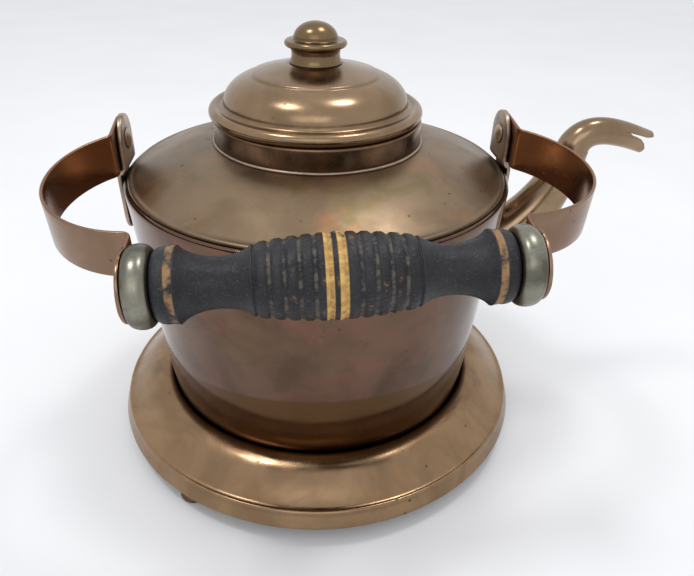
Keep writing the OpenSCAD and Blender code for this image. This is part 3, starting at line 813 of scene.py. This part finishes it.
def make_straps():
    r_tab, bend, reach = 10.65, 2.4, (GRIP_AT - HINGE).length
    disc = 13.3
    x0 = TAB_X + STRAP_T
    run, low_r, high_r, rise = math.radians(38), 47.5, 40, 17
    start = (x0 + bend * (1 - math.sin(run)), rise + bend * math.cos(run))
    low = (start[0] - low_r * math.sin(run), start[1] + low_r * math.cos(run))
    high = (low[0] + low_r - high_r, low[1])
    top = high[1] + high_r
    outer = (
        [(x0, -r_tab), (x0, 0), (x0, rise)] + arc(x0 + bend, rise, bend, 176, 128, 5)
        + arc(low[0], low[1], low_r, -50, 0, 24) + arc(high[0], high[1], high_r, 4, 85, 24)
        + arc(END_X + STRAP_T + bend, top + bend, bend, -96, -180, 6)
        + [(END_X + STRAP_T, reach), (END_X + STRAP_T, reach + disc)]
    )
    path = []
    n = len(outer)
    for i, p in enumerate(outer):
        d = (Vector(outer[min(i + 1, n - 1)]) - Vector(outer[max(i - 1, 0)])).normalized()
        path.append((p[0] - d.y * STRAP_T / 2, p[1] + d.x * STRAP_T / 2))
    for s, name in ((-1, "left"), (1, "right")):
        lean = math.asin(GRIP_AXIS.dot(strap_frame(s).to_3x3().col[1]))
        pts, stations, length = end_spaced(path, r_tab, disc)
        rod_s = length - disc

        def width(d, total):
            gap = d - (total - disc)
            flare = math.sqrt(max(disc ** 2 - gap ** 2, 0)) if gap < 0 else disc
            # blend the strip's width into the disc
            return (r_tab ** 8 + flare ** 8) ** 0.125 if gap < 0 and flare > 4 else max(r_tab, flare)

        def twist(i, v, lean=lean, stations=stations, rod_s=rod_s):
            f = min(max((stations[i] - (rod_s - 20)) / 8, 0), 1)
            f = f * f * (3 - 2 * f)
            base = Vector((END_X + 0.05, 0, 0))
            d = v - base
            c, w = math.cos(lean * f), math.sin(lean * f)
            return base + Vector((d.x * c - d.y * w, d.x * w + d.y * c, d.z))

        if s > 0:
            use_path, use_twist = path, twist
        else:
            use_path = [(-x, z) for x, z in path]

            def use_twist(i, v, inner=twist):
                w = inner(i, Vector((-v.x, -v.y, v.z)))
                return Vector((-w.x, -w.y, w.z))
        strap = strip(f"strap_band_{name}", use_path, r_tab, disc, width, STRAP_T, "bail",
                      strap_copper, place=strap_frame(s), twist=use_twist)
        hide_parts(f"strap_{name}")


def make_grip():
    mid_r, neck_r, ridge_r = 16.3, 9.6, 14.4
    pitch, rings = RING_PITCH, 11
    half = pitch * rings / 2

    def ringed(x):
        base = mid_r - 2.6 * (x / half) ** 2
        return base - 0.9 * abs(math.sin(math.pi * x / pitch)) ** 5

    right = [(ringed(pitch * i / 14), pitch * i / 14) for i in range(7 * rings + 1)]
    right += bezier([(12.85, half + 0.25), (13.2, half + 0.3), (13.3, half + 0.5), (13.2, half + 0.9)], 3, 0)
    right += bezier([(13.2, half + 0.9), (10.6, half + 4), (neck_r, 38), (neck_r, 42.5)], 16, 1)
    ridge = GRIP_HALF - 8.6
    right += bezier([(neck_r, 42.5), (neck_r, 49), (11.6, 54), (ridge_r - 0.25, ridge - 0.25)], 16, 1)
    right += [(ridge_r, ridge), (ridge_r + 0.02, ridge + 0.25), (ridge_r - 0.12, ridge + 0.6)]
    right += line((ridge_r - 0.15, ridge + 0.8), (ridge_r - 0.42, ridge + 3.2), 4)
    right += bezier([(ridge_r - 0.42, ridge + 3.2), (ridge_r - 0.3, ridge + 3.5),
                     (ridge_r - 0.2, ridge + 3.8), (ridge_r - 0.25, ridge + 4.4)], 4, 1)
    right += bezier([(ridge_r - 0.25, ridge + 4.4), (ridge_r - 0.3, ridge + 6.4),
                     (ridge_r - 1.0, ridge + 8.2), (ridge_r - 2.4, GRIP_HALF)], 10, 1)
    right += [(8, GRIP_HALF), (2.55, GRIP_HALF)]
    left = [(r, -z) for r, z in reversed(right[1:])]
    g = lathe("turned_grip", left + right, "bail", grip_wood, 128, place=grip_frame())
    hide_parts("grip")
    for s, name in ((-1, "left"), (1, "right")):
        fr = 15.6
        mid = GRIP_HALF + FERRULE_W / 2
        body = [(2.55, GRIP_HALF + 0.2), (11.6, GRIP_HALF + 0.2)] \
            + arc(fr - 3.0, GRIP_HALF + 1.0, 0.8, -110, -60, 3) \
            + bezier([(fr - 2.3, GRIP_HALF + 0.5), (fr - 0.9, GRIP_HALF + 0.9),
                      (fr, mid - 2.2), (fr, mid)], 12, 1) \
            + bezier([(fr, mid), (fr, mid + 2.2),
                      (fr - 0.8, END_X - 0.8), (fr - 2.3, END_X - 0.3)], 12, 1) \
            + [(fr - 2.9, END_X - 0.08), (11, END_X), (2.55, END_X)]
        f = lathe(f"ferrule_cap_{name}", body, "bail", ferrule_metal, 128,
                  place=grip_frame(s))
        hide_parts(f"ferrule_{name}")
        base = END_X + STRAP_T + 0.1
        w = lathe(f"rod_washer_{name}", [(2.55, base), (5.8, base), (6, base + 0.2), (6, base + 0.8),
                                         (5.8, base + 1), (2.55, base + 1)],
                  "bail", rod_steel, 48, place=grip_frame(s))
        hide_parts("rod_washers")
    end, peen_r, peen_h, rod_r = END_X + STRAP_T + 1.1, 4.2, 1.9, 2.5
    rod = [(0, -end - peen_h)] \
        + [(peen_r * math.sin(math.radians(a)), -end - peen_h * math.cos(math.radians(a)))
           for a in range(10, 91, 10)] \
        + [(rod_r, -end), (rod_r, 0), (rod_r, end)] \
        + [(peen_r * math.cos(math.radians(a)), end + peen_h * math.sin(math.radians(a)))
           for a in range(0, 90, 10)] \
        + [(0, end + peen_h)]
    r = lathe("handle_rod_peened", rod, "bail", rod_steel, 48, place=grip_frame())
    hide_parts("handle_rod")


# ---------- lid ----------

def make_lid():
    cr, cz, rr = LID_R - 2.9, LID_LO + 2.9, 2.9
    cap = cz + 17.6
    top = KNOB_LO
    lid_dent = dents(0.18, 45, 29)
    path = (
        arc(cr, cz, rr, -92, 108, 26)
        + bezier([(cr - 1.05, cz + 2.72), (cr - 1.5, cz + 2.5),
                  (cr - 2.0, cz + 2.28), (cr - 2.4, cz + 2.3)], 5, 1)
        + bezier([(cr - 2.4, cz + 2.3), (cr - 3.9, cz + 2.4), (cr - 4.8, cz + 3.3), (44.8, cz + 5)], 8, 1)
        + bezier([(44.8, cz + 5), (44.3, cz + 10), (38.6, cz + 15), (31.1, cz + 16.5)], 26, 1)
        + bezier([(31.1, cz + 16.5), (30.85, cz + 16.7), (31.0, cz + 17.2), (30.5, cz + 17.5)], 5, 1)
        + bezier([(30.5, cz + 17.5), (29.8, cap + 0.2), (28.5, cap + 0.5), (27, cap + 0.85)], 5, 1)
        + line((27, cap + 0.85), (13.6, top), 10, 1) + line((13.6, top), (3, top), 4, 1)
    )
    d = lathe("lid_sheet", sheet(path, 1.0, 0.1), "lid", lid_metal, 224, lid_dent,
              LID_PLACE)
    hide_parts("lid_dome")

    lo, hi = corners("lid_skirt")
    r = (hi.x - lo.x) / 2
    skirt = [(r, lo.z), (r, hi.z), (r - 0.9, hi.z), (r - 0.9, lo.z)]
    # the skirt's dark copper is a painted reflection
    k = lathe("lid_skirt_band", skirt, "lid", dark_copper, 160, place=LID_PLACE)
    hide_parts("lid_skirt")

    z0, cap_r, cap_h = KNOB_LO, 10.4, 7.4
    knob = (
        [(0, z0), (6, z0), (12.4, z0), (12.6, z0 + 0.2), (12.6, z0 + 0.6), (12.3, z0 + 0.95)]
        + bezier([(12.3, z0 + 0.95), (11.5, z0 + 2.2), (11.0, z0 + 5.2), (12.2, z0 + 6.8)], 12, 1)
        + bezier([(12.2, z0 + 6.8), (12.8, z0 + 7.5), (13.5, z0 + 7.5), (14.0, z0 + 7.75)], 4, 1)
        + arc(13.3, z0 + 9, 1.5, -50, 104, 14)
        + bezier([(12.9, z0 + 10.45), (12.0, z0 + 10.7), (11.2, z0 + 10.6), (10.75, z0 + 10.9)], 6, 1)
        + bezier([(10.75, z0 + 10.9), (10.3, z0 + 11.3), (10.5, z0 + 11.9), (10.35, z0 + 12.6)], 5, 1)
        + [(cap_r * math.cos(math.radians(a)), z0 + 11.2 + cap_h * math.sin(math.radians(a)))
           for a in range(14, 90, 5)]
        + [(0, z0 + 18.6)]
    )
    kn = lathe("lid_knob_turned", knob, "lid", knob_bronze, 128, place=LID_PLACE)
    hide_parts("lid_knob")


make_stand()
make_body()
make_spout()
make_lugs()
make_straps()
make_grip()
make_lid()
for node_name in ("knob_rivet", "knob_washer"):
    obj = frame["nodes"][node_name]
    obj.data.materials.clear()
    obj.data.materials.append(rod_steel)


# ---------- floor, light, camera ----------

def make_stage():
    s = Shader("table_top")
    tone = s.step(s.noise(6, 3, 0.5), 0.3, 0.7)
    s.put(s.bsdf.inputs["Base Color"], s.mix(tone, (0.80, 0.81, 0.825), (0.83, 0.835, 0.845)))
    s.bsdf.inputs["Roughness"].default_value = 0.45
    mesh = bpy.data.meshes.new("table")
    w = 4.0
    mesh.from_pydata([(-w, -w, 0), (w, -w, 0), (w, w, 0), (-w, w, 0)], [], [(0, 1, 2, 3)])
    mesh.materials.append(s.mat)
    table = bpy.data.objects.new("table", mesh)
    bpy.context.scene.collection.objects.link(table)

    world = bpy.data.worlds.new("studio")
    bpy.context.scene.world = world
    world.use_nodes = True
    back = world.node_tree.nodes["Background"]
    back.inputs["Color"].default_value = (0.955, 0.96, 0.98, 1)
    back.inputs["Strength"].default_value = 0.92


def area_light(name, at, aim, size, power):
    """A soft light at one place, turned towards another; metres and watts."""
    data = bpy.data.lights.new(name, "AREA")
    data.shape = "RECTANGLE"
    data.size, data.size_y = size
    data.energy = power
    obj = bpy.data.objects.new(name, data)
    obj.location = at
    obj.rotation_euler = (Vector(aim) - Vector(at)).to_track_quat("-Z", "Y").to_euler()
    bpy.context.scene.collection.objects.link(obj)


def make_camera():
    at = Vector((-0.01832, -0.31480, 0.27163))
    forward = Vector((0.09309, 0.84320, -0.52948)).normalized()
    data = bpy.data.cameras.new("view")
    data.sensor_width = 36
    data.lens = 33.19
    data.clip_start = 0.01
    cam = bpy.data.objects.new("view", data)
    roll = Matrix.Rotation(math.radians(1.345), 4, "Z")
    cam.matrix_world = Matrix.Translation(at) @ forward.to_track_quat("-Z", "Y").to_matrix().to_4x4() @ roll
    bpy.context.scene.collection.objects.link(cam)
    bpy.context.scene.camera = cam


make_stage()
AIM = (0, 0, 0.1)
area_light("top_left", (-0.45, -0.1, 1.3), AIM, (0.22, 0.22), 3.4)
area_light("top_right", (0.40, 0.15, 1.4), AIM, (0.22, 0.22), 3.4)
area_light("front", (-0.3, -1.6, 1.2), AIM, (1.4, 0.9), 4)
make_camera()

view = bpy.context.scene.view_settings
view.view_transform = "Standard"
